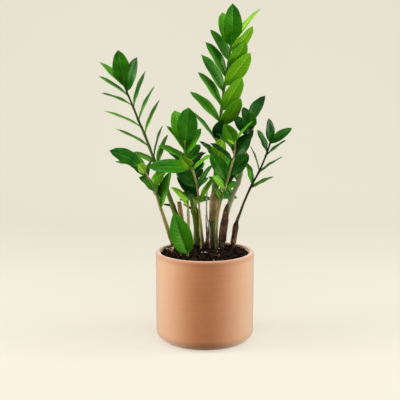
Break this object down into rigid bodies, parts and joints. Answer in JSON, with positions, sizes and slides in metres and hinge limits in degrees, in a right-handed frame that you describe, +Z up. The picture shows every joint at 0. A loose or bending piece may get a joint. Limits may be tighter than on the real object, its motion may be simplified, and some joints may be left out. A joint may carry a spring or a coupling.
{
  "type": "potted zz plant",
  "caption": "Upright leafy houseplant with several fronds of glossy oval leaflets, growing from potting mix in a plain clay cylinder pot.",
  "frame": {"origin": "centre of the pot's resting face", "axes": "+Z up the plant, +X to the plant's right, -Y towards its front"},
  "size_m": [0.299, 0.2335, 0.517],
  "materials": {
    "clay": "matte",
    "potting_mix": "matte",
    "leaf": "satin",
    "young_leaf": "satin",
    "dried_sheath": "matte",
    "pale_sheath": "satin",
    "tuber": "matte"
  },
  "bodies": {
    "root": {"pot": "clay", "potting_mix": "potting_mix", "rhizome_left": "tuber", "rhizome_centre": "tuber", "rhizome_right": "tuber", "rhizome_far_right": "tuber", "frond_left_tall": "leaf", "frond_left_low": "leaf", "frond_centre_upright": "leaf", "frond_front_short": "leaf", "frond_centre_tall": "leaf", "frond_centre_slender": "leaf", "frond_right_dark": "leaf", "frond_right_slender": "leaf", "frond_young": "young_leaf", "frond_back_left": "leaf", "frond_back_right": "leaf", "leaf_at_soil": "leaf", "cut_stalk": "dried_sheath", "dry_stalk": "pale_sheath", "sheath_centre_upright": "pale_sheath", "sheath_centre_tall": "dried_sheath", "sheath_right_dark": "dried_sheath", "sheath_right_slender": "dried_sheath"}
  },
  "joints": []
}
